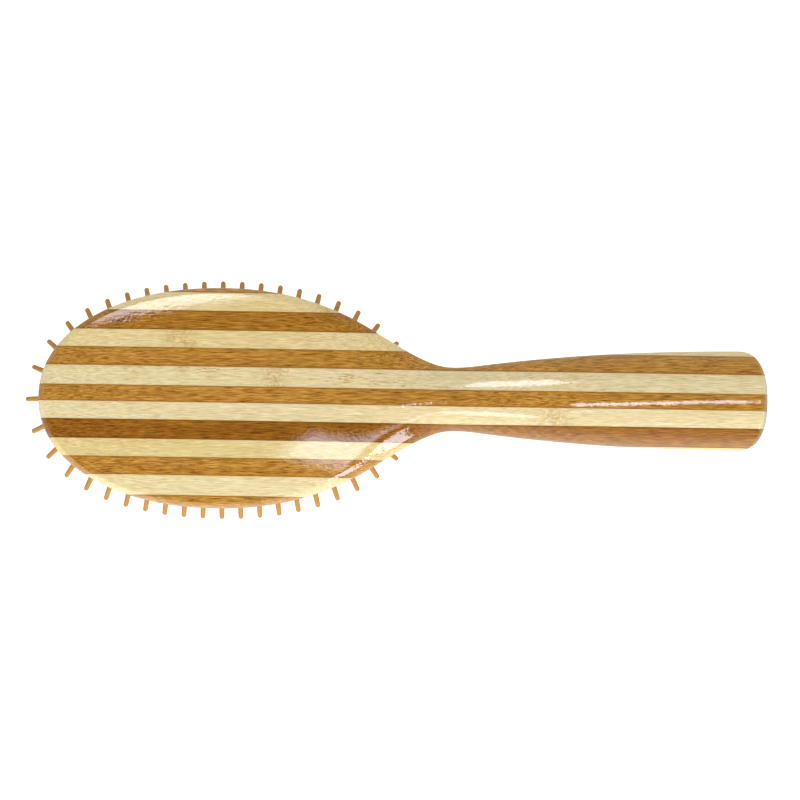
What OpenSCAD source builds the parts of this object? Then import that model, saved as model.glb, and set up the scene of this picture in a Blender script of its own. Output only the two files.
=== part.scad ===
// Oval cushion brush carved from one striped bamboo board.
// It lies on its pins with its back up: +X runs from the head to the handle, +Z up,
// and the origin is under the middle of the whole brush, at the height of the pin tips.
// Stations along the body are measured from the tip of the head.

/* [Body outline] */
// Length of the bamboo body, tip to handle end
body_length = 240; // [225:1:255]
// Greatest width of the head
head_width = 72.5; // [66:0.5:76]
// Tip to the widest station of the head
head_reach = 60; // [56:0.5:64]
// Exponent of the superellipse at the tip: 2 is an ellipse, more is squarer
tip_power = 2.12; // [2:0.02:2.4]
// Width of the neck
neck_width = 21; // [18:0.5:24]
// Greatest width of the handle
handle_width = 32.7; // [28:0.1:36]

/* [Body thickness] */
// Height of the back's crest over the flat front of the head
head_thickness = 13; // [12:0.5:16]
// Height of the crease that runs round the back of the head
crease_height = 9.2; // [8.5:0.1:10.5]
// Width of the rounded band outside the crease, on the head
band_width = 1.7; // [1:0.1:2.5]
// Depth of the rounded band
band_depth = 3.2; // [2:0.1:4]
// Height of the handle's crest over the head's front
handle_crest = 16.2; // [14:0.1:18]
// How far the handle reaches below the head's front
handle_belly = 4.2; // [2:0.1:6]
// Rounding of the front edge
front_round = 1.5; // [0.5:0.1:2]

/* [Laminations] */
// Skew of the glued strips to the brush's own axis, in degrees
strip_skew = 0.6; // [0:0.01:1]
// First seam's distance from the axis, at the tip station
first_seam = 35.2; // [34.5:0.1:36]

/* [Cushion] */
// Long half axis of the pocket in the front
pocket_a = 57; // [55:0.5:57.5]
// Short half axis of the pocket
pocket_b = 32; // [30:0.5:32.5]
// Depth of the pocket
pocket_depth = 7; // [6:0.1:7.5]
// Height of the rubber dome over the front
dome_rise = 6; // [5:0.1:7]
// Exponent of the dome: more is flatter on top and steeper at the edge
dome_power = 2.6; // [2:0.1:3.4]
// Thickness of the rubber
rubber_wall = 1.6; // [1.2:0.1:2]
// Reach of the rubber flange into its groove
flange_reach = 1.2; // [0.8:0.1:1.4]
// Thickness of the felt on the pocket floor
felt_thickness = 1.5; // [1:0.1:2]

/* [Pins] */
// Length of a pin outside the rubber
pin_reach = 19; // [16:0.5:21]
// Radius of a pin at its root
pin_root_r = 1.05; // [0.9:0.05:1.2]
// Radius of a pin's round tip
pin_tip_r = 0.8; // [0.6:0.05:0.9]
// Splay of the outer ring, in degrees, averaged round the cushion
outer_splay = 41; // [30:1:43]
// More splay at the four shoulders and less between them, so that the tips' ring is squarer
shoulder_splay = 2.6; // [0:0.1:4]
// More splay at the ends than at the sides
end_splay = 2; // [0:0.1:4]
// Turn of the shoulder pins towards the sides, in degrees
shoulder_turn = 5; // [0:0.5:8]
// Inset of the outer ring from the pocket's edge
outer_inset = 4.6; // [4:0.1:5]
// Step from one ring to the next
ring_step = 6.6; // [6:0.1:6.8]

/* [Hidden] */

// Widths of the eleven whole strips, from the +Y side; an outermost strip lies on each side of them
strip_widths = [6.0, 6.5, 5.8, 6.2, 6.3, 5.5, 5.8, 6.4, 5.8, 6.0, 6.5];
// Pins in each ring, outermost first
ring_counts = [44, 32, 26, 20];
// Splay of each ring as a share of the outer ring's
ring_splays = [1, 0.72, 0.47, 0.22];
// Pins in the middle row
row_count = 8;

// Outline knots after the widest station: [station, half width, slope]
outline = [
    [head_reach, head_width / 2, 0],
    [106, 24.9, -0.555],
    [130.5, 11.5, -0.34],
    [137, neck_width / 2, 0],
    [145.5, 11.2, 0.13],
    [body_length - 10, handle_width / 2, 0]
];
// Crest of the back over the head's front: [station, height, slope]
crest = [
    [head_reach, head_thickness, 0],
    [110, head_thickness - 0.6, -0.02],
    [140, head_thickness - 1.1, 0.02],
    [160, handle_crest - 2.4, 0.12],
    [178, handle_crest - 0.8, 0.045],
    [body_length - 30, handle_crest, 0.004],
    [body_length - 10, handle_crest, 0]
];
// Underside below the head's front: [station, depth, slope]
belly = [
    [118, 0, 0],
    [137, 0.6, 0.06],
    [body_length - 30, handle_belly, 0.01],
    [body_length - 10, handle_belly, 0]
];
// The handle's outline ends in a quarter superellipse this long
end_length = 10;
end_power = 2.4;
// The end's edge is rounded over this far in from the outline, where the outline is narrowest
end_round = 5;
// The head's section turns into the handle's ellipse between these stations
turn_from = 104;
turn_to = 150;
// The band outside the crease widens to this along the flanks
flank_band = 3.8;
// The band's slope where it leaves the crease, as an angle round its quarter turn
band_start = 40;

front_z = dome_rise + pin_reach;
pad_s = head_reach + 0.5;
ring_a = pocket_a - outer_inset;
tip_s = pad_s - ring_a - (pin_reach - pin_tip_r) * sin(splay_at(180)) - pin_tip_r;
shift_x = (tip_s + body_length) / 2;

// Splay of an outer pin at an angle round the cushion's ellipse
function splay_at(t) =
    outer_splay + end_splay * cos(2 * t) - shoulder_splay * cos(4 * t) * shoulder_share(t);
// The shoulders' extra is full at the head's tip and small beside the neck
function shoulder_share(t) = 0.6 - 0.4 * cos(t);

steepest_splay = outer_splay + shoulder_splay + end_splay;

// The skin is drawn from stations, closer together where the outline turns fast
stations = [
    for (s = [0.12, 0.6, 1.6, 3.4, 6, 10, 16, 24, 34, 46]) s,
    for (s = [head_reach : 12 : 96]) s,
    for (s = [106 : 5 : 146]) s,
    for (s = [160 : 20 : body_length - 24]) s,
    for (a = [0 : 22.5 : 67.5]) body_length - end_length + end_length * sin(a),
    body_length - 0.12
];
crown_points = 6;
band_points = 3;
seat_clearance = 0.05;
felt_clearance = 0.5;
groove_low = 2.6;
groove_high = 4.3;
groove_deep = 1.4;
around = 48;
dome_levels = 7;
hole_clearance = 0.06;
foot_r = 1.7;
foot_thick = 0.8;
vent_r = 0.9;
slab_height = 80;
arc_steps = 180;
slope_step = 0.02;
pin_facets = 32;

function superellipse(u, n) = pow(max(0, 1 - pow(min(1, abs(u)), n)), 1 / n);

function hermite(t, h, p, q) =
    (2 * t ^ 3 - 3 * t ^ 2 + 1) * p[1] + (t ^ 3 - 2 * t ^ 2 + t) * h * p[2]
    + (3 * t ^ 2 - 2 * t ^ 3) * q[1] + (t ^ 3 - t ^ 2) * h * q[2];

// A smooth curve through knots; constant before the first and after the last
function through(knots, s, i = 0) =
    s <= knots[0][0] ? knots[0][1]
    : i > len(knots) - 2 ? knots[len(knots) - 1][1]
    : s <= knots[i + 1][0]
        ? hermite((s - knots[i][0]) / (knots[i + 1][0] - knots[i][0]),
                  knots[i + 1][0] - knots[i][0], knots[i], knots[i + 1])
    : through(knots, s, i + 1);

function smooth(from, to, s) =
    let (t = min(1, max(0, (s - from) / (to - from)))) t * t * (3 - 2 * t);

// The tip and the handle's end close as superellipses
function end_share(s) = superellipse(max(0, s - body_length + end_length) / end_length, end_power);
function half_width(s) =
    s < head_reach
        ? head_width / 2 * superellipse((head_reach - s) / head_reach, tip_power)
        : through(outline, s) * end_share(s);
function slope(s) =
    let (low = max(0.001, s - slope_step), high = s + slope_step)
    (half_width(high) - half_width(low)) / (high - low);

// Half of the head's section, from the crest down to the middle of the flat front.
// Right at the tip the band covers the whole section, and the points spread over it instead.
function head_section(s) =
    let (h = half_width(s),
         k = h * slope(s),
         e = band_width + (flank_band - band_width) * smooth(70, 115, s),
         inner = sqrt(max(0, h * h + 2 * e * e - 2 * e * sqrt(h * h + e * e + k * k))),
         split = max(inner, h / 3),
         rise = (through(crest, s) - crease_height)
                * (s < head_reach ? 1 - ((head_reach - s) / head_reach) ^ 2 : 1),
         round = min(front_round, 0.4 * h),
         low = crease_height - band_depth,
         across = [
             for (i = [0 : crown_points]) split * i / crown_points,
             for (i = [1 : band_points]) split + (h - split) * sin(90 * i / band_points)
         ])
    [
        for (y = across)
            [y, y < inner ? crease_height + rise * (1 - (y / inner) ^ 2) : band_height(inset(h, k, y), e)],
        [h, (low + round) / 2],
        [h, round],
        [h - round * (1 - cos(45)), round * (1 - sin(45))],
        [h - round, 0],
        [0, 0]
    ];
// Distance in from the outline, to first order
function inset(h, k, y) = (h * h - y * y) / (2 * sqrt(k * k + y * y) + 0.0001);
// Height of the rounded band at that distance
function band_height(d, e) =
    let (turn = asin(min(1, max(0, 1 - d / e * (1 - sin(band_start))))))
    crease_height - band_depth * (1 - cos(max(turn, band_start)) / cos(band_start));

// Half of the handle's section, an ellipse with as many points
function handle_section(s) =
    let (h = half_width(s),
         top = through(crest, s),
         bottom = -through(belly, s),
         mid = (top + bottom) / 2,
         r = (top - bottom) / 2,
         share = end_share(s),
         reach = end_round * (1 - share) + 0.001,
         k = h * slope(s),
         angles = [
             for (i = [0 : crown_points]) 90 - 58 * i / crown_points,
             for (i = [1 : band_points]) 32 - 20 * i / band_points,
             0, -18, -36, -56, -90
         ])
    [
        for (a = angles)
            let (y = h * cos(a),
                 full = sqrt(1 - (share * cos(a)) ^ 2),
                 edge = superellipse(max(0, 1 - inset(h, k, y) / reach), 2))
            [y, mid + r * sign(a) * (share < 1 ? full * edge : sin(abs(a)))]
    ];

function section(s) =
    let (w = smooth(turn_from, turn_to, s), a = head_section(s), b = handle_section(s))
    [for (i = [0 : len(a) - 1]) a[i] * (1 - w) + b[i] * w];

// A closed ring from half a section: down the +Y side, then up the other
function ring_of(half) = concat(
    half,
    [for (i = [len(half) - 2 : -1 : 1]) [-half[i][0], half[i][1]]]
);

// Triangles between rings of n points each, and a fan over the first and last ring
function loft_faces(rings, n) = concat(
    [for (r = [0 : rings - 2]) for (i = [0 : n - 1])
        let (a = r * n + i, b = r * n + (i + 1) % n) each [[a, b, b + n], [a, b + n, a + n]]],
    [[for (i = [n - 1 : -1 : 0]) i]],
    [[for (i = [0 : n - 1]) (rings - 1) * n + i]]
);

// The whole carved body before it is split into strips
module blank() {
    rings = [for (s = stations) [for (p = ring_of(section(s))) [s - shift_x, p[0], front_z + p[1]]]];
    n = len(rings[0]);
    polyhedron(points = [for (r = rings) each r], faces = loft_faces(len(rings), n), convexity = 6);
}

module oval(a, b) {
    polygon([for (i = [0 : around - 1]) let (t = 360 * i / around) [a * cos(t), b * sin(t)]]);
}

// A disc or plug of the pocket's outline, grown by some amount, between two heights over the front
module pocket_oval(grow, low, high) {
    translate([pad_s - shift_x, 0, front_z + low])
        linear_extrude(high - low)
            oval(pocket_a + grow, pocket_b + grow);
}

// Distance of each seam from the axis at the tip station, from the +Y side
seams = [
    for (i = 0, y = first_seam; i <= len(strip_widths);
         y = y - (i < len(strip_widths) ? strip_widths[i] : 0), i = i + 1)
        y
];

// One lamination: the blank between two skewed seams, without the pocket and its groove
module strip(index) {
    outermost = head_width;
    high = index == 0 ? outermost : seams[index - 1];
    low = index == len(seams) ? -outermost : seams[index];
    difference() {
        intersection() {
            blank();
            translate([-shift_x, 0, 0])
                rotate([0, 0, -strip_skew])
                    translate([-head_reach, low, 0])
                        cube([body_length + 2 * head_reach, high - low, slab_height]);
        }
        pocket_oval(0, -1, pocket_depth);
        pocket_oval(groove_deep, groove_low, groove_high);
    }
}

module dark_strip(index) { color("#B8803A") strip(index); }
module light_strip(index) { color("#EBD9A5") strip(index); }

// Height of the dome over the front, at an inset from the pocket's edge
function dome(inset) = dome_rise * (1 - (1 - inset / pocket_b) ^ dome_power);

// The rubber's profile: [inset from the pocket's edge, height over the front, downwards negative]
rubber_profile = let (last = pocket_b - 0.6, start = seat_clearance) [
    for (i = [dome_levels : -1 : 0])
        let (d = start + (last - start) * (i / dome_levels) ^ 1.6) [d, -dome(d)],
    [start, groove_low + 0.1],
    [-flange_reach, groove_low + 0.1],
    [-flange_reach, groove_high - 0.1],
    [start + rubber_wall, groove_high - 0.1],
    for (i = [0 : dome_levels])
        let (d = start + rubber_wall + (last - start - rubber_wall) * (i / dome_levels) ^ 1.6)
        [d, rubber_wall - dome(d)]
];

// The membrane is one shell: the profile carried round the oval, closed over its middle ridge
module rubber_shell() {
    p = rubber_profile;
    points = [for (q = p) for (i = [0 : around - 1]) let (t = 360 * i / around)
        [pad_s - shift_x + (pocket_a - q[0]) * cos(t), (pocket_b - q[0]) * sin(t), front_z + q[1]]];
    last = (len(p) - 1) * around;
    walls = [for (r = [0 : len(p) - 2]) for (i = [0 : around - 1])
        let (a = r * around + i, b = r * around + (i + 1) % around)
        each [[a, a + around, b + around], [a, b + around, b]]];
    polyhedron(points = points, convexity = 8, faces = concat(walls, ridge(0, false), ridge(last, true)));
}

// The narrow flat ridge that closes one side, in quads across the long axis
function ridge(first, up) = [
    for (i = [0 : around / 2 - 1])
        let (a = first + i, b = first + i + 1,
             c = first + around - i - 1, d = first + (around - i) % around,
             quad = i == 0 ? [a, b, c] : i == around / 2 - 1 ? [a, b, d] : [a, b, c, d])
        up ? [for (k = [len(quad) - 1 : -1 : 0]) quad[k]] : quad
];

// Lengths along an ellipse, to space pins evenly on it
function arc_table(a, b) = [
    for (i = 0, run = 0; i <= arc_steps;
         run = run + norm([a * (cos((i + 1) * 360 / arc_steps) - cos(i * 360 / arc_steps)),
                           b * (sin((i + 1) * 360 / arc_steps) - sin(i * 360 / arc_steps))]),
         i = i + 1)
        [run, i * 360 / arc_steps]
];

// Where the pins of one ring leave the rubber: [x, y, direction they lean in, splay]
function ring_places(k) =
    let (d = outer_inset + k * ring_step,
         a = pocket_a - d,
         b = pocket_b - d,
         table = arc_table(a, b),
         whole = table[arc_steps][0],
         n = ring_counts[k])
    [for (i = [0 : n - 1])
        let (t = 180 + lookup((i + (k % 2) / 2) * whole / n, table))
        [a * cos(t), b * sin(t), atan2(a * sin(t), b * cos(t)) + shoulder_turn * sin(2 * t),
         splay_at(t) * ring_splays[k]]];

function row_places() =
    let (half = pocket_a - pocket_b)
    [for (i = [0 : row_count - 1]) [half * (2 * i / (row_count - 1) - 1), 0, 0, 0]];

// Puts its children at each place, their +Z along the pin
module at_places(places, inset) {
    for (p = places)
        translate([pad_s - shift_x + p[0], p[1], front_z - dome(inset)])
            rotate([0, 180 - p[3], p[2]])
                children();
}

// A turned bamboo pin: flared foot inside the rubber, tapered shank and round tip
module pin() {
    root = -rubber_wall / cos(steepest_splay) - 0.6;
    translate([0, 0, root - foot_thick]) cylinder(h = foot_thick, r = foot_r, $fn = pin_facets);
    translate([0, 0, root - 0.01])
        cylinder(h = pin_reach - pin_tip_r - root + 0.01, r1 = pin_root_r, r2 = pin_tip_r, $fn = pin_facets);
    translate([0, 0, pin_reach - pin_tip_r]) sphere(r = pin_tip_r, $fn = pin_facets);
}

module pin_ring(k) {
    color("#C88C50") at_places(ring_places(k), outer_inset + k * ring_step) pin();
}
module pin_row() { color("#C88C50") at_places(row_places(), pocket_b) pin(); }

module pin_hole() {
    translate([0, 0, -2 * rubber_wall])
        cylinder(h = 4 * rubber_wall, r = pin_root_r + hole_clearance, $fn = pin_facets);
}

module rubber_cushion() {
    color("#2A2725")
        difference() {
            rubber_shell();
            for (k = [0 : len(ring_counts) - 1])
                at_places(ring_places(k), outer_inset + k * ring_step) pin_hole();
            at_places(row_places(), pocket_b) pin_hole();
            vent_hole();
        }
}

// The air hole, on the axis near the neck, between the third and fourth rings
module vent_hole() {
    translate([pad_s - shift_x + pocket_a - outer_inset - 2.5 * ring_step, 0, front_z - 2 * dome_rise])
        cylinder(h = 2 * dome_rise + rubber_wall, r = vent_r, $fn = pin_facets);
}

module pocket_felt() {
    color("#8C8578") pocket_oval(-felt_clearance, pocket_depth - felt_thickness, pocket_depth);
}

dark_strip(0);  // strip_01_dark
light_strip(1);  // strip_02_light
dark_strip(2);  // strip_03_dark
light_strip(3);  // strip_04_light
dark_strip(4);  // strip_05_dark
light_strip(5);  // strip_06_light
dark_strip(6);  // strip_07_dark
light_strip(7);  // strip_08_light
dark_strip(8);  // strip_09_dark
light_strip(9);  // strip_10_light
dark_strip(10);  // strip_11_dark
light_strip(11);  // strip_12_light
dark_strip(12);  // strip_13_dark
rubber_cushion();
pocket_felt();
pin_ring(0);  // pins_outer_ring
pin_ring(1);  // pins_second_ring
pin_ring(2);  // pins_third_ring
pin_ring(3);  // pins_fourth_ring
pin_row();  // pins_centre_row
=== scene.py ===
import math
import random

import bmesh
import bpy
from mathutils import Matrix, Vector
from mathutils.bvhtree import BVHTree
from mathutils.interpolate import poly_3d_calc


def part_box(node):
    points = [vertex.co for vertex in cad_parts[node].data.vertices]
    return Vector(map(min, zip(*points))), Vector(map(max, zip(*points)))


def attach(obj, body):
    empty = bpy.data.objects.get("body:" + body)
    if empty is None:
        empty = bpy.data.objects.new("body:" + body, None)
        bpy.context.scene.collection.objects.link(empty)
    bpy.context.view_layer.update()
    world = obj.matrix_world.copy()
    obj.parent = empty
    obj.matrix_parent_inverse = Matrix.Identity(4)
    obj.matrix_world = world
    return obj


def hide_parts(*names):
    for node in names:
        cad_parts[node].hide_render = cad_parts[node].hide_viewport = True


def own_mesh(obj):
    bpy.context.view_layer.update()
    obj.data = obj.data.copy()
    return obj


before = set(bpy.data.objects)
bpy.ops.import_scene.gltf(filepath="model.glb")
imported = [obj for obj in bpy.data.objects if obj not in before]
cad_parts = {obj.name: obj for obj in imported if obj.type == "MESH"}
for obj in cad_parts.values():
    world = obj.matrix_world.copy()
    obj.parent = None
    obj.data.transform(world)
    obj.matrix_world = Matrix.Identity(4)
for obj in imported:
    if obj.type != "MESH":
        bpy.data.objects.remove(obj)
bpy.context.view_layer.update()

# ---------------------------------------------------------------------------------------------
# Viewpoint. A long lens looks straight down on the back, a degree or so off the vertical and
# turned a little, so that the brush lies level but not perfectly square in the picture.
view_width = 0.2632
view_lens = 1200
view_lean = math.radians(1.8)
view_turn = math.radians(0.33)
view_target = Vector((0.00127, -0.00034, 0.032))

camera_data = bpy.data.cameras.new("camera")
camera_data.lens = view_lens
camera_data.sensor_width = 36
camera = bpy.data.objects.new("camera", camera_data)
bpy.context.scene.collection.objects.link(camera)
distance = view_width * view_lens / camera_data.sensor_width
back_off = Matrix.Rotation(view_turn, 3, "Z") @ Vector((0, -math.sin(view_lean), math.cos(view_lean)))
camera.location = view_target + back_off * distance
camera.rotation_euler = (view_lean, 0, view_turn)
camera_data.clip_end = 40
bpy.context.scene.camera = camera
bpy.context.scene.view_settings.view_transform = "Standard"

# ---------------------------------------------------------------------------------------------
# The carved board. Thirteen bamboo laminations, dark (carbonised) and light (natural) in turn,
# are glued on edge into one block, shaped together by router and sander, and lacquered.
# Stations run from the tip of the head (0) to the end of the handle.
strip_names = sorted(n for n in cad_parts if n.startswith("strip_"))
tip_trim = 0.00012
tip_x = min(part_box(n)[0].x for n in strip_names) - tip_trim
end_x = max(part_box(n)[1].x for n in strip_names) + tip_trim
body_length = end_x - tip_x

# The oval pocket in the front, which the felt lines with a little room round it
pocket_depth = 0.007
felt_room = 0.0005
felt_low, felt_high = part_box("pocket_felt")
front_z = felt_high.z - pocket_depth
pocket_x = (felt_low.x + felt_high.x) / 2
pocket_a = (felt_high.x - felt_low.x) / 2 + felt_room
pocket_b = (felt_high.y - felt_low.y) / 2 + felt_room

head_reach = 0.060
head_half = 0.03625
tip_power = 2.12
end_length = 0.010
end_power = 2.4
end_round = 0.005
crease_height = 0.0092
band_depth = 0.0032
head_band = 0.0017
flank_band = 0.0038
band_start = math.radians(40)
front_round = 0.0015
groove = (0.0014, 0.0026, 0.0043)
# Knots are (station, value, slope): half width, height of the crest, depth of the underside
outline = [(head_reach, head_half, 0), (0.106, 0.0249, -0.555), (0.1305, 0.0115, -0.34),
           (0.137, 0.0105, 0), (0.1455, 0.0112, 0.13), (body_length - 0.010, 0.01635, 0)]
crest = [(head_reach, 0.013, 0), (0.110, 0.0124, -0.02), (0.140, 0.0119, 0.02), (0.160, 0.0138, 0.12),
         (0.178, 0.0154, 0.045), (body_length - 0.030, 0.0162, 0.004), (body_length - 0.010, 0.0162, 0)]
belly = [(0.118, 0, 0), (0.137, 0.0006, 0.06),
         (body_length - 0.030, 0.0042, 0.01), (body_length - 0.010, 0.0042, 0)]


def superellipse(share, power):
    return max(0.0, 1 - min(1.0, abs(share)) ** power) ** (1 / power)


def ease(low, high, value):
    t = min(1.0, max(0.0, (value - low) / (high - low)))
    return t * t * (3 - 2 * t)


def through(knots, s):
    """A smooth curve through the knots, level before the first and after the last."""
    if s <= knots[0][0]:
        return knots[0][1]
    for (s0, v0, m0), (s1, v1, m1) in zip(knots, knots[1:]):
        if s <= s1:
            w = s1 - s0
            t = (s - s0) / w
            return ((2 * t**3 - 3 * t**2 + 1) * v0 + (t**3 - 2 * t**2 + t) * w * m0
                    + (3 * t**2 - 2 * t**3) * v1 + (t**3 - t**2) * w * m1)
    return knots[-1][1]


def end_share(s):
    return superellipse(max(0.0, s - body_length + end_length) / end_length, end_power)


def half_width(s):
    if s < head_reach:
        return head_half * superellipse((head_reach - s) / head_reach, tip_power)
    return through(outline, s) * end_share(s)


def half_width_slope(s):
    step = 0.00002
    low = max(0.000001, s - step)
    return (half_width(s + step) - half_width(low)) / (s + step - low)


def edge_distance(h, k, y):
    """Distance in from the outline, where h is the half width and k is h times its slope."""
    return (h * h - y * y) / (2 * math.sqrt(k * k + y * y) + 1e-7)


def head_half_section(s):
    """From the crest over the crease, down the side and in to the middle of the flat front."""
    h = half_width(s)
    k = h * half_width_slope(s)
    e = head_band + (flank_band - head_band) * ease(0.070, 0.115, s)
    inner = math.sqrt(max(0.0, h * h + 2 * e * e - 2 * e * math.sqrt(h * h + e * e + k * k)))
    split = max(inner, h / 3)
    rise = through(crest, s) - crease_height
    if s < head_reach:
        rise *= 1 - ((head_reach - s) / head_reach) ** 2

    def top(y):
        if y < inner:
            return crease_height + rise * (1 - (y / inner) ** 2)
        lean = math.asin(min(1.0, max(0.0, 1 - edge_distance(h, k, y) / e * (1 - math.sin(band_start)))))
        return crease_height - band_depth * (1 - math.cos(max(lean, band_start)) / math.cos(band_start))

    r = min(front_round, 0.4 * h)
    low = crease_height - band_depth
    crown = [split * (1 - (1 - i / 16) ** 1.5) for i in range(17)]
    band = [split + (h - split) * math.sin(math.pi / 2 * i / 8) for i in range(1, 9)]
    side = [(h, r + (low - r) * (1 - i / 3)) for i in range(1, 4)]
    turn = [(h - r * (1 - math.cos(a)), r * (1 - math.sin(a)))
            for a in (math.pi / 8 * i for i in range(1, 5))]
    flat = [((h - r) * (1 - i / 4), 0.0) for i in range(1, 5)]
    return [(y, top(y)) for y in crown + band] + side + turn + flat


def handle_half_section(s):
    h = half_width(s)
    top = through(crest, s)
    bottom = -through(belly, s)
    r = (top - bottom) / 2
    share = end_share(s)
    reach = end_round * (1 - share) + 1e-6
    k = h * half_width_slope(s)
    degrees = ([90 - 58 * i / 16 for i in range(17)] + [32 - 26 * i / 8 for i in range(1, 9)]
               + [0, -8, -16, -24, -32, -40, -48, -58, -68, -78, -90])
    half = []
    for d in degrees:
        across, up = math.cos(math.radians(d)), math.sin(math.radians(d))
        if share < 1:
            edge = superellipse(max(0.0, 1 - edge_distance(h, k, h * across) / reach), 2)
            up = math.copysign(math.sqrt(1 - (share * across) ** 2) * edge, up)
        half.append((h * across, (top + bottom) / 2 + r * up))
    return half


def skin_stations():
    tip = [head_reach * (1 - math.cos(math.radians(a))) for a in [0.9] + [2.5 * i for i in range(1, 36)]]
    end = [body_length - end_length * (1 - math.sin(math.radians(a)))
           for a in [5 * i for i in range(18)] + [88.5]]
    middle = ([head_reach + 0.002 * i for i in range(22)] + [0.104 + 0.0012 * i for i in range(38)]
              + [0.150 + 0.0026 * i for i in range(31)])
    return tip + [s for s in middle if s < end[0] - 0.001] + end


def carved_skin():
    """The whole board's surface as one closed bmesh, before it is parted into its strips."""
    skin = bmesh.new()
    rings = []
    for s in skin_stations():
        w = ease(0.104, 0.150, s)
        half = [(a[0] * (1 - w) + b[0] * w, a[1] * (1 - w) + b[1] * w)
                for a, b in zip(head_half_section(s), handle_half_section(s))]
        around = half + [(-y, z) for y, z in half[-2:0:-1]]
        rings.append([skin.verts.new((tip_x + s, y, front_z + z)) for y, z in around])
    for a, b in zip(rings, rings[1:]):
        for i in range(len(a)):
            j = (i + 1) % len(a)
            skin.faces.new((a[i], b[i], b[j], a[j]))
    skin.faces.new(rings[0])
    skin.faces.new(rings[-1][::-1])
    bmesh.ops.recalc_face_normals(skin, faces=skin.faces)
    return skin


def oval_prism(name, grow, low, high, steps=128):
    """A plug with the pocket's outline, grown a little, between two heights over the front."""
    solid = bmesh.new()
    rings = [[solid.verts.new((pocket_x + (pocket_a + grow) * math.cos(2 * math.pi * i / steps),
                               (pocket_b + grow) * math.sin(2 * math.pi * i / steps), front_z + z))
              for i in range(steps)] for z in (low, high)]
    for i in range(steps):
        j = (i + 1) % steps
        solid.faces.new((rings[0][i], rings[0][j], rings[1][j], rings[1][i]))
    solid.faces.new(rings[0][::-1])
    solid.faces.new(rings[1])
    mesh = bpy.data.meshes.new(name)
    solid.to_mesh(mesh)
    solid.free()
    return link(name, mesh)


def link(name, mesh):
    thing = bpy.data.objects.new(name, mesh)
    bpy.context.scene.collection.objects.link(thing)
    return thing


def cut_away(thing, *cutters):
    """Takes each cutter's volume out of the piece, and removes the cutters."""
    for cutter in cutters:
        cut = thing.modifiers.new("cut", "BOOLEAN")
        cut.operation = "DIFFERENCE"
        cut.solver = "EXACT"
        cut.object = cutter
    bpy.context.view_layer.update()
    done = bpy.data.meshes.new_from_object(thing.evaluated_get(bpy.context.evaluated_depsgraph_get()))
    thing.modifiers.clear()
    thing.data = done
    for cutter in cutters:
        bpy.data.objects.remove(cutter)


skin = carved_skin()
skin_tree = BVHTree.FromBMesh(skin)
skin.verts.ensure_lookup_table()
skin.faces.ensure_lookup_table()
skin.normal_update()


def skin_normal(point):
    """The carved surface's smooth normal nearest to a point, so that gloss runs over the seams."""
    spot, _, index, _ = skin_tree.find_nearest(point)
    corners = skin.faces[index].verts
    shares = poly_3d_calc([v.co for v in corners], spot)
    return sum((v.normal * w for v, w in zip(corners, shares)), Vector()).normalized()


board_mesh = bpy.data.meshes.new("board")
skin.to_mesh(board_mesh)
board = link("board", board_mesh)
cut_away(board, oval_prism("pocket", 0, -0.002, pocket_depth), oval_prism("groove", *groove))

# Seams between the strips: a little out of parallel with the brush, and not all one width
strip_skew = math.radians(0.6)
seam_across = Vector((math.sin(strip_skew), math.cos(strip_skew), 0))
seam_steps = [0.0060, 0.0065, 0.0058, 0.0062, 0.0063, 0.0055, 0.0058, 0.0064, 0.0058, 0.0060, 0.0065]
seams = [0.0352]
for step in seam_steps:
    seams.append(seams[-1] - step)


def part_strip(index, name):
    """The slice of the board between two seams, closed with flat glue faces."""
    piece = bmesh.new()
    piece.from_mesh(board.data)
    tip = Vector((tip_x, 0, 0))
    for side, seam in ((-1, index - 1), (1, index)):
        if not 0 <= seam < len(seams):
            continue
        geom = piece.verts[:] + piece.edges[:] + piece.faces[:]
        bmesh.ops.bisect_plane(piece, geom=geom, dist=1e-7, clear_outer=True,
                               plane_co=tip + seam_across * seams[seam] / math.cos(strip_skew),
                               plane_no=-side * seam_across)
        rim = [e for e in piece.edges if e.is_boundary]
        glued = bmesh.ops.holes_fill(piece, edges=rim, sides=0)["faces"]
        for face in glued:
            face.material_index = 1
    mesh = bpy.data.meshes.new(name)
    bmesh.ops.recalc_face_normals(piece, faces=piece.faces)
    piece.to_mesh(mesh)
    piece.free()
    mesh.polygons.foreach_set("use_smooth", [True] * len(mesh.polygons))
    inside_pocket = front_z + 0.00001
    normals = [Vector()] * len(mesh.loops)
    for face in mesh.polygons:
        c = face.center
        out = ((c.x - pocket_x) / (pocket_a + 0.002)) ** 2 + (c.y / (pocket_b + 0.002)) ** 2
        carved = out < 1 and inside_pocket < c.z < front_z + pocket_depth + 0.00001
        for loop in face.loop_indices:
            if face.material_index or carved:
                normals[loop] = face.normal.copy()
            else:
                normals[loop] = skin_normal(mesh.vertices[mesh.loops[loop].vertex_index].co)
    mesh.normals_split_custom_set(normals)
    return link(name, mesh)


# Fine lengthwise fibre, long soft streaks, short flecks and the smudged patch at a growth node:
# one group, which every bamboo piece uses with its own colours, amounts and place in the culm
def node_group(name, inputs, outputs):
    group = bpy.data.node_groups.new(name, "ShaderNodeTree")
    for label, kind, value in inputs:
        socket = group.interface.new_socket(label, in_out="INPUT", socket_type=kind)
        socket.default_value = value
    for label, kind in outputs:
        group.interface.new_socket(label, in_out="OUTPUT", socket_type=kind)
    return group, group.nodes.new("NodeGroupInput"), group.nodes.new("NodeGroupOutput")


def add(tree, kind, links=None, **settings):
    """A node with its settings, and its inputs linked or set by name or number."""
    node = tree.nodes.new(kind)
    for key, value in settings.items():
        setattr(node, key, value)
    for key, value in (links or {}).items():
        socket = node.inputs[key]
        if isinstance(value, bpy.types.NodeSocket):
            tree.links.new(value, socket)
        else:
            socket.default_value = value
    return node


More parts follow.
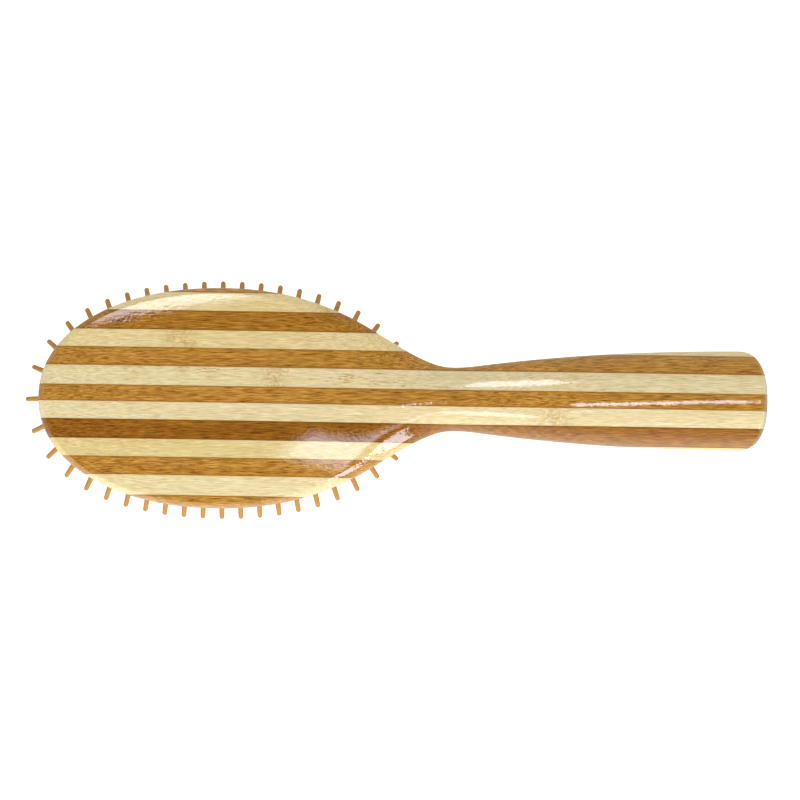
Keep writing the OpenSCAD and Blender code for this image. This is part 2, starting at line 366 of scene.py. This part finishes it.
def maths(tree, operation, *values, clamp=False):
    return add(tree, "ShaderNodeMath", dict(enumerate(values)), operation=operation,
               use_clamp=clamp).outputs[0]


def blended(tree, share, a, b, mode="MIX"):
    mix = add(tree, "ShaderNodeMix", data_type="RGBA", blend_type=mode)
    for key, value in (("Factor", share), ("A", a), ("B", b)):
        socket = next(s for s in mix.inputs if s.name == key and s.enabled)
        if isinstance(value, bpy.types.NodeSocket):
            tree.links.new(value, socket)
        else:
            socket.default_value = value
    return next(s for s in mix.outputs if s.enabled)


def fibre_noise(tree, place, stretch, detail=3, warp=0.0):
    """Noise drawn out along the grain; stretch is cells a metre along X and across it."""
    mapped = add(tree, "ShaderNodeMapping", {"Vector": place, "Scale": (stretch[0], stretch[1], stretch[1])})
    return add(tree, "ShaderNodeTexNoise", {"Vector": mapped.outputs[0], "Scale": 1.0, "Detail": detail,
                                            "Roughness": 0.6, "Distortion": warp}).outputs["Fac"]


def ramp(tree, value, low, high):
    return add(tree, "ShaderNodeMapRange", {"Value": value, "From Min": low, "From Max": high},
               clamp=True).outputs[0]


bamboo_grain, given, made = node_group(
    "bamboo_grain",
    [("Base", "NodeSocketColor", (0.8, 0.65, 0.4, 1)), ("Streak", "NodeSocketColor", (0.7, 0.5, 0.2, 1)),
     ("Fleck", "NodeSocketColor", (0.4, 0.2, 0.05, 1)), ("Streak amount", "NodeSocketFloat", 0.5),
     ("Fleck amount", "NodeSocketFloat", 0.5), ("Place", "NodeSocketVector", (0, 0, 0)),
     ("Node at", "NodeSocketFloat", 0.0), ("Node amount", "NodeSocketFloat", 0.5),
     ("Grain depth", "NodeSocketFloat", 0.6), ("Glue amount", "NodeSocketFloat", 0.5),
     ("High seam", "NodeSocketFloat", 1.0), ("Low seam", "NodeSocketFloat", 1.0)],
    [("Color", "NodeSocketColor"), ("Height", "NodeSocketFloat")])
g = bamboo_grain
where = add(g, "ShaderNodeTexCoord").outputs["Object"]
place = add(g, "ShaderNodeVectorMath", {0: where, 1: given.outputs["Place"]}, operation="ADD").outputs[0]
long_streak = fibre_noise(g, place, (14, 560), 4)
fine_fibre = fibre_noise(g, place, (240, 4600), 2)
dashes = fibre_noise(g, place, (200, 3300), 3, 0.25)
short_fleck = fibre_noise(g, place, (260, 2300), 2, 0.4)
patchy = fibre_noise(g, place, (26, 110), 2)
along = add(g, "ShaderNodeSeparateXYZ", {0: where}).outputs["X"]
wander = maths(g, "MULTIPLY", maths(g, "SUBTRACT", fibre_noise(g, place, (40, 500), 2), 0.5), 0.012)
from_node = maths(g, "ABSOLUTE", maths(g, "SUBTRACT", maths(g, "ADD", along, wander),
                                       given.outputs["Node at"]))
near_node = maths(g, "MULTIPLY", maths(g, "SUBTRACT", 1.0, ramp(g, from_node, 0.0005, 0.0075)),
                  given.outputs["Node amount"])
swirl = add(g, "ShaderNodeTexNoise", {"Vector": place, "Scale": 620, "Detail": 4, "Roughness": 0.65,
                                      "Distortion": 1.4}).outputs["Fac"]
node_mark = maths(g, "MULTIPLY", near_node, ramp(g, swirl, 0.42, 0.62))
streak_share = maths(g, "MULTIPLY", ramp(g, long_streak, 0.36, 0.66), given.outputs["Streak amount"])
colour = blended(g, streak_share, given.outputs["Base"], given.outputs["Streak"])
fleck_share = maths(g, "MULTIPLY", ramp(g, short_fleck, 0.57, 0.66), ramp(g, patchy, 0.44, 0.60))
fleck_share = maths(g, "MULTIPLY", fleck_share, given.outputs["Fleck amount"])
colour = blended(g, fleck_share, colour, given.outputs["Fleck"])
colour = blended(g, maths(g, "MULTIPLY", node_mark, 0.7), colour, given.outputs["Fleck"])
grain_value = maths(g, "ADD", maths(g, "MULTIPLY", fine_fibre, 0.45), maths(g, "MULTIPLY", dashes, 0.55))
grain_value = maths(g, "MULTIPLY", maths(g, "SUBTRACT", grain_value, 0.5), given.outputs["Grain depth"])
grain_red = maths(g, "ADD", 1.0, grain_value)
grain_green = maths(g, "ADD", 1.0, maths(g, "MULTIPLY", grain_value, 1.25))
grain_blue = maths(g, "ADD", 1.0, maths(g, "MULTIPLY", grain_value, 1.8))
grey = add(g, "ShaderNodeCombineColor", {0: grain_red, 1: grain_green, 2: grain_blue}).outputs[0]
colour = blended(g, 1.0, colour, grey, "MULTIPLY")
across = add(g, "ShaderNodeVectorMath", {0: where, 1: seam_across},
             operation="DOT_PRODUCT").outputs["Value"]
to_high = maths(g, "ABSOLUTE", maths(g, "SUBTRACT", across, given.outputs["High seam"]))
to_low = maths(g, "ABSOLUTE", maths(g, "SUBTRACT", across, given.outputs["Low seam"]))
to_seam = maths(g, "MINIMUM", to_high, to_low)
ragged = maths(g, "ADD", 0.00028, maths(g, "MULTIPLY", dashes, 0.0006))
glue = maths(g, "MULTIPLY", maths(g, "SUBTRACT", 1.0, maths(g, "DIVIDE", to_seam, ragged, clamp=True)),
             given.outputs["Glue amount"])
colour = blended(g, glue, colour, given.outputs["Fleck"])
g.links.new(colour, made.inputs["Color"])
g.links.new(maths(g, "ADD", maths(g, "MULTIPLY", fine_fibre, 0.4), maths(g, "MULTIPLY", swirl, 0.25)),
            made.inputs["Height"])


def bamboo(name, base, streak, fleck, streak_amount, fleck_amount, shift, node_at, node_amount,
           gloss, peel, depth=0.6, glue=0.0, high=1.0, low=1.0):
    """Lacquered bamboo: the grain under a clear film whose orange peel shows in its reflections."""
    material = bpy.data.materials.new(name)
    material.use_nodes = True
    tree = material.node_tree
    shader = tree.nodes["Principled BSDF"]
    grain = add(tree, "ShaderNodeGroup", node_tree=bamboo_grain)
    for label, value in (("Base", (*base, 1)), ("Streak", (*streak, 1)), ("Fleck", (*fleck, 1)),
                         ("Streak amount", streak_amount), ("Fleck amount", fleck_amount),
                         ("Place", shift), ("Node at", node_at), ("Node amount", node_amount),
                         ("Grain depth", depth), ("Glue amount", glue), ("High seam", high),
                         ("Low seam", low)):
        grain.inputs[label].default_value = value
    tree.links.new(grain.outputs["Color"], shader.inputs["Base Color"])
    spot = add(tree, "ShaderNodeTexCoord").outputs["Object"]
    orange_peel = add(tree, "ShaderNodeTexNoise", {"Vector": spot, "Scale": 900.0, "Detail": 2.0,
                                                   "Roughness": 0.5}).outputs["Fac"]
    height = maths(tree, "ADD", maths(tree, "MULTIPLY", orange_peel, peel),
                   maths(tree, "MULTIPLY", grain.outputs["Height"], 0.02))
    bump = add(tree, "ShaderNodeBump", {"Height": height, "Strength": 0.2, "Distance": 0.0002})
    tree.links.new(bump.outputs[0], shader.inputs["Normal"])
    shader.inputs["Roughness"].default_value = gloss
    shader.inputs["IOR"].default_value = 1.5
    return material


# Steaming browns the sugar in bamboo, so a dark strip's tone tells how long it was steamed; the
# pale ones are natural. Each strip comes from its own culm, with its growth node somewhere along it
long_steamed = (0.30, 0.12, 0.01)
steamed = (0.40, 0.18, 0.02)
short_steamed = (0.48, 0.24, 0.04)
straw = (0.70, 0.58, 0.28)
natural = (0.77, 0.64, 0.33)
bleached = (0.75, 0.65, 0.39)
culms = [
    (short_steamed, 0.020, 0.4), (natural, -0.020, 0.3), (steamed, -0.090, 0.2), (natural, -0.071, 0.5),
    (short_steamed, 0.101, 0.2), (bleached, -0.040, 1.0), (short_steamed, 0.105, 0.2),
    (bleached, 0.052, 0.1), (long_steamed, -0.012, 0.3), (straw, 0.075, 0.3),
    (short_steamed, -0.070, 0.3), (bleached, 0.030, 0.2), (short_steamed, -0.045, 0.3)]
random.seed(11)
for index, name in enumerate(strip_names):
    tone, node_at, flecks = culms[index]
    dark = name.endswith("dark")
    piece = part_strip(index, name.replace("strip", "lamination"))
    if dark:
        streak = tuple(c * k for c, k in zip(tone, (0.70, 0.62, 0.45)))
        fleck = tuple(c * k for c, k in zip(tone, (0.50, 0.42, 0.3)))
    else:
        streak = tuple(c * k for c, k in zip(tone, (0.93, 0.86, 0.66)))
        fleck = (0.50, 0.26, 0.06)
    place_in_culm = (random.uniform(-1, 1), random.uniform(-1, 1), random.uniform(-1, 1))
    high_seam, low_seam = (tip_x * math.sin(strip_skew) + (seams[i] if 0 <= i < len(seams) else 1)
                           for i in (index - 1, index))
    lacquered = bamboo(name.replace("strip", "bamboo"), tone, streak, fleck,
                       streak_amount=0.6 if dark else 0.55, fleck_amount=flecks,
                       shift=place_in_culm, node_at=node_at, node_amount=1.0,
                       gloss=0.045, peel=0.55, depth=4.4 if dark else 1.5,
                       glue=0.8 if dark else 0.15, high=high_seam, low=low_seam)
    piece.data.materials.append(lacquered)
    piece.data.materials.append(lacquered)
    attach(piece, "board")
    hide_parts(name)
bpy.data.objects.remove(board)

# ---------------------------------------------------------------------------------------------
# The felt. A grey disc of pressed felt glued to the pocket's floor, behind the pins' feet.
felt_grey = bpy.data.materials.new("felt")
felt_grey.use_nodes = True
t = felt_grey.node_tree
fuzz = add(t, "ShaderNodeTexNoise", {"Vector": add(t, "ShaderNodeTexCoord").outputs["Object"],
                                     "Scale": 1400.0, "Detail": 5.0, "Roughness": 0.7}).outputs["Fac"]
t.links.new(blended(t, fuzz, (0.30, 0.28, 0.25, 1), (0.42, 0.40, 0.36, 1)),
            t.nodes["Principled BSDF"].inputs["Base Color"])
t.nodes["Principled BSDF"].inputs["Roughness"].default_value = 0.95
felt_bump = add(t, "ShaderNodeBump", {"Height": fuzz, "Strength": 0.6, "Distance": 0.0003})
t.links.new(felt_bump.outputs[0], t.nodes["Principled BSDF"].inputs["Normal"])
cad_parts["pocket_felt"].data.materials.clear()
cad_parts["pocket_felt"].data.materials.append(felt_grey)

# ---------------------------------------------------------------------------------------------
# The pins. Turned from bamboo, with a flared foot inside the rubber, a tapered shank and a
# round polished tip. Each ring or row is one group that sinks together.
pin_wood = bamboo("pin_bamboo", (0.50, 0.24, 0.02), (0.41, 0.19, 0.01), (0.23, 0.09, 0.01),
                  streak_amount=0.8, fleck_amount=0.5, shift=(0.3, 0.7, 0.1), node_at=1.0,
                  node_amount=0.0, gloss=0.5, peel=0.1)
pin_steps = 20
foot_radius = 0.0017


def islands(node):
    """Each pin of a CAD node: (tip point, unit direction from foot to tip, length)."""
    solid = bmesh.new()
    solid.from_mesh(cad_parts[node].data)
    bmesh.ops.remove_doubles(solid, verts=solid.verts, dist=1e-6)
    left = set(solid.verts)
    found = []
    while left:
        queue = [left.pop()]
        group = [queue[0]]
        while queue:
            for edge in queue.pop().link_edges:
                for v in edge.verts:
                    if v in left:
                        left.remove(v)
                        queue.append(v)
                        group.append(v)
        low = min(group, key=lambda v: v.co.z).co
        points = [v.co.copy() for v in group]
        far_a = max(points, key=lambda p: (p - low).length)
        axis = (low - far_a).normalized()
        foot = [p for p in points if (p - far_a).dot(axis) < 0.0016]
        tip = [p for p in points if (low - p).dot(axis) < 0.0009]
        foot_centre = (Vector(map(min, *foot)) + Vector(map(max, *foot))) / 2
        tip_centre = (Vector(map(min, *tip)) + Vector(map(max, *tip))) / 2
        axis = (tip_centre - foot_centre).normalized()
        top = max((p - foot_centre).dot(axis) for p in points)
        base = min((p - foot_centre).dot(axis) for p in points)
        found.append((foot_centre + axis * base, axis, top - base))
    solid.free()
    return found


def turned(solid, base, axis, profile, steps):
    """Turns a profile of (distance from base, radius) round an axis into a closed solid."""
    across = axis.orthogonal().normalized()
    other = axis.cross(across)
    rings = []
    for along_axis, radius in profile:
        if radius < 1e-7:
            rings.append([solid.verts.new(base + axis * along_axis)])
            continue
        rings.append([solid.verts.new(base + axis * along_axis
                                      + across * radius * math.cos(2 * math.pi * i / steps)
                                      + other * radius * math.sin(2 * math.pi * i / steps))
                      for i in range(steps)])
    for a, b in zip(rings, rings[1:]):
        for i in range(steps):
            j = (i + 1) % steps
            if len(a) == 1:
                solid.faces.new((a[0], b[j], b[i]))
            elif len(b) == 1:
                solid.faces.new((a[i], a[j], b[0]))
            else:
                solid.faces.new((a[i], a[j], b[j], b[i]))


def pin_profile(length):
    root, tip = 0.00105, 0.00080
    neck = 0.0012
    points = [(0, 0), (0, foot_radius * 0.8), (0.00012, foot_radius * 0.95), (0.0004, foot_radius),
              (0.0007, foot_radius * 0.93), (neck, root * 1.12), (0.0018, root)]
    shank_end = length - tip
    points += [(0.0018 + (shank_end - 0.0018) * i / 6, root + (tip - root) * i / 6) for i in range(1, 7)]
    points += [(shank_end + tip * math.sin(math.radians(a)), tip * math.cos(math.radians(a)))
               for a in (20, 40, 58, 74)]
    return points + [(length, 0)]


def smooth_object(name, solid, sharp_degrees=40):
    bmesh.ops.recalc_face_normals(solid, faces=solid.faces)
    mesh = bpy.data.meshes.new(name)
    solid.to_mesh(mesh)
    solid.free()
    mesh.polygons.foreach_set("use_smooth", [True] * len(mesh.polygons))
    mesh.set_sharp_from_angle(angle=math.radians(sharp_degrees))
    return link(name, mesh)


pin_sets = {node: islands(node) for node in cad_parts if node.startswith("pins_")}
for node, pins in pin_sets.items():
    solid = bmesh.new()
    for base, axis, length in pins:
        turned(solid, base, axis, pin_profile(length), pin_steps)
    piece = smooth_object(node.replace("pins", "turned_pins"), solid)
    piece.data.materials.append(pin_wood)
    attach(piece, node.replace("pins_", ""))
    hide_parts(node)

# ---------------------------------------------------------------------------------------------
# The cushion. One moulding of soft black rubber: a flange sprung and glued into the pocket's
# groove, a thin dome over the air space, a collar gripping each pin and a small air hole.
dome_rise = 0.006
dome_power = 2.6
rubber_wall = 0.0016
bead_height = 0.0004

rubber = bpy.data.materials.new("moulded_rubber")
rubber.use_nodes = True
t = rubber.node_tree
spot = add(t, "ShaderNodeTexCoord").outputs["Object"]
bloom = add(t, "ShaderNodeTexNoise", {"Vector": spot, "Scale": 60.0, "Detail": 4.0}).outputs["Fac"]
pores = add(t, "ShaderNodeTexNoise", {"Vector": spot, "Scale": 4200.0, "Detail": 2.0}).outputs["Fac"]
t.links.new(blended(t, bloom, (0.016, 0.015, 0.014, 1), (0.034, 0.032, 0.030, 1)),
            t.nodes["Principled BSDF"].inputs["Base Color"])
t.links.new(add(t, "ShaderNodeMapRange", {"Value": bloom, "To Min": 0.42, "To Max": 0.62}).outputs[0],
            t.nodes["Principled BSDF"].inputs["Roughness"])
pore_bump = add(t, "ShaderNodeBump", {"Height": pores, "Strength": 0.35, "Distance": 0.0001})
t.links.new(pore_bump.outputs[0], t.nodes["Principled BSDF"].inputs["Normal"])


def dome_height(inset):
    """How far the rubber stands out of the front, at an inset from the pocket's edge."""
    bead = bead_height * math.exp(-((inset - 0.0009) / 0.0006) ** 2)
    return dome_rise * (1 - max(0.0, 1 - inset / pocket_b) ** dome_power) + bead


def oval_ring(solid, inset, z, steps):
    return [solid.verts.new((pocket_x + (pocket_a - inset) * math.cos(2 * math.pi * i / steps),
                             (pocket_b - inset) * math.sin(2 * math.pi * i / steps), z))
            for i in range(steps)]


def join_rings(solid, rings, closed=False):
    for a, b in zip(rings, rings[1:] + (rings[:1] if closed else [])):
        for i in range(len(a)):
            j = (i + 1) % len(a)
            solid.faces.new((a[i], a[j], b[j], b[i]))


def close_ridge(solid, ring):
    """Closes a long narrow ring with quads straight across it."""
    n = len(ring)
    for i in range(n // 2):
        quad = [ring[i], ring[i + 1], ring[n - i - 1], ring[(n - i) % n]]
        solid.faces.new(list(dict.fromkeys(quad)))


around = 160
seat = 0.00005
last_inset = pocket_b - 0.0004
insets = [seat + 0.0003 * i for i in range(9)]
insets += [insets[-1] + (last_inset - insets[-1]) * (i / 20) for i in range(1, 21)]
shell = bmesh.new()
outer = [oval_ring(shell, d, front_z - dome_height(d), around) for d in reversed(insets)]
inner = [oval_ring(shell, max(d, 0) + rubber_wall * (1 - d / last_inset),
                   front_z - dome_height(max(d, 0.002)) + rubber_wall, around) for d in insets]
join_rings(shell, outer + inner)
close_ridge(shell, outer[0])
close_ridge(shell, inner[-1][::-1])
dome = smooth_object("cushion_dome", shell, 50)

pin_hole = 0.00112
air_hole = 0.0009
holes = bmesh.new()
for node, pins in pin_sets.items():
    for base, axis, length in pins:
        turned(holes, base + axis * 0.0005, axis,
               [(0, 0), (0, pin_hole), (0.0062, pin_hole), (0.0062, 0)], 16)
vent_x = max(b.x for b, _, _ in pin_sets["pins_third_ring"])
vent_x = (vent_x + max(b.x for b, _, _ in pin_sets["pins_fourth_ring"])) / 2
turned(holes, Vector((vent_x, 0, front_z - 0.012)), Vector((0, 0, 1)),
       [(0, 0), (0, air_hole), (0.014, air_hole), (0.014, 0)], 24)
cut_away(dome, smooth_object("holes", holes))
dome.data.polygons.foreach_set("use_smooth", [True] * len(dome.data.polygons))
dome.data.set_sharp_from_angle(angle=math.radians(40))
dome.data.materials.clear()
dome.data.materials.append(rubber)
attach(dome, "board")
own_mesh(dome)
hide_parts("rubber_cushion")

flange = bmesh.new()
flange_rings = [oval_ring(flange, d, front_z + z, around)
                for d, z in ((seat, 0.0001), (seat, 0.0027), (-0.0010, 0.0027), (-0.0012, 0.0029),
                             (-0.0012, 0.0040), (-0.0010, 0.0042), (0.0012, 0.0042), (0.0015, 0.0039),
                             (0.0015, 0.0001))]
join_rings(flange, flange_rings, closed=True)
rim = smooth_object("cushion_flange", flange)
rim.data.materials.append(rubber)
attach(rim, "board")

# A collar's section, as (distance along the pin from the rubber's face, radius)
collar_reach = 0.00349
collar_steps = 20
collar_section = [(-0.0010, 0.00108), (-0.0010, 0.0024), (-0.0002, 0.0023), (0.0002, 0.0019),
                  (0.0006, 0.0016), (0.00085, 0.0014), (0.0009, 0.00118), (0.0008, 0.00106)]
for node, pins in pin_sets.items():
    collars = bmesh.new()
    for base, axis, length in pins:
        turned(collars, base + axis * collar_reach, axis, collar_section, collar_steps)
        collars.verts.ensure_lookup_table()
        first_vertex = len(collars.verts) - len(collar_section) * collar_steps
        first = collars.verts[first_vertex:first_vertex + collar_steps]
        final = collars.verts[-collar_steps:]
        for i in range(collar_steps):
            j = (i + 1) % collar_steps
            collars.faces.new((final[i], final[j], first[j], first[i]))
    piece = smooth_object(node.replace("pins", "collars"), collars)
    piece.data.materials.append(rubber)
    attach(piece, node.replace("pins_", ""))

# ---------------------------------------------------------------------------------------------
# The studio. A white light table that runs out of sight, a dim room that is paler towards the
# horizon, a wide overhead diffuser, and soft boxes that only matter as reflections in the lacquer.
paper = bpy.data.materials.new("white_paper")
paper.use_nodes = True
paper_shader = paper.node_tree.nodes["Principled BSDF"]
paper_shader.inputs["Base Color"].default_value = (0.5, 0.5, 0.5, 1)
paper_shader.inputs["Roughness"].default_value = 0.9
paper_shader.inputs["Emission Color"].default_value = (1, 1, 1, 1)
paper_shader.inputs["Emission Strength"].default_value = 0.92
table = bmesh.new()
bmesh.ops.create_grid(table, x_segments=1, y_segments=1, size=3)
table_mesh = bpy.data.meshes.new("table")
table.to_mesh(table_mesh)
table.free()
table_top = link("table", table_mesh)
table_top.data.materials.append(paper)
table_top.visible_glossy = False

# The room's reflection is dim overhead, lilac-grey at the horizon, and bright low on the near side
world = bpy.data.worlds.new("room")
world.use_nodes = True
t = world.node_tree
facing = add(t, "ShaderNodeSeparateXYZ", {0: add(t, "ShaderNodeTexCoord").outputs["Generated"]}).outputs
lowness = maths(t, "SUBTRACT", 1.0, ramp(t, facing["Z"], 0.05, 0.80))
room_light = blended(t, lowness, (0.10, 0.10, 0.10, 1), (0.46, 0.42, 0.46, 1))
near_side = maths(t, "MULTIPLY", maths(t, "MULTIPLY", facing["Y"], -1.0, clamp=True), lowness)
far_side = maths(t, "MULTIPLY", maths(t, "MULTIPLY", facing["Y"], 1.0, clamp=True), lowness)
room_light = blended(t, near_side, room_light, (2.6, 2.45, 2.2, 1))
room_light = blended(t, far_side, room_light, (0.62, 0.58, 0.58, 1))
t.links.new(room_light, t.nodes["Background"].inputs["Color"])
t.nodes["Background"].inputs["Strength"].default_value = 1.0
bpy.context.scene.world = world


def soft_box(name, lean, size, turn, height, glow, tint=(1, 1, 1), reflected=True):
    """A level rectangle of light; lean is where it hangs, in metres aside for each metre up."""
    light = bpy.data.lights.new(name, "AREA")
    light.shape = "RECTANGLE"
    light.size, light.size_y = (length * height for length in size)
    light.energy = glow * math.pi * light.size * light.size_y
    light.color = tint
    thing = bpy.data.objects.new(name, light)
    bpy.context.scene.collection.objects.link(thing)
    thing.location = (lean[0] * height, lean[1] * height, height + 0.035)
    thing.rotation_euler = (0, 0, math.radians(turn))
    thing.visible_glossy = reflected
    thing.visible_diffuse = not reflected
    thing.visible_camera = False


# The diffuser lights the wood; the boxes are seen only in the lacquer: the key on the head's far
# shoulder, the flank and its halo and edge by the neck on the near side, and a strip on the handle
cool = (0.92, 0.92, 1.08)
soft_box("diffuser", (0, -0.50), (2.4, 2.4), 0, 1.5, 1.27, reflected=False)
soft_box("key_box", (-0.281, 0.621), (0.46, 0.30), 26, 0.5, 9, cool)
soft_box("flank_box", (-0.04, -0.53), (0.56, 0.15), -39, 0.1, 7, cool)
soft_box("flank_halo", (-0.04, -0.53), (0.66, 0.22), -39, 0.1, 3, cool)
soft_box("edge_box", (0.60, -1.16), (0.9, 0.13), -60, 0.5, 13, cool)
soft_box("handle_box", (0.25, -0.08), (0.35, 0.07), 24, 0.3, 14, cool)
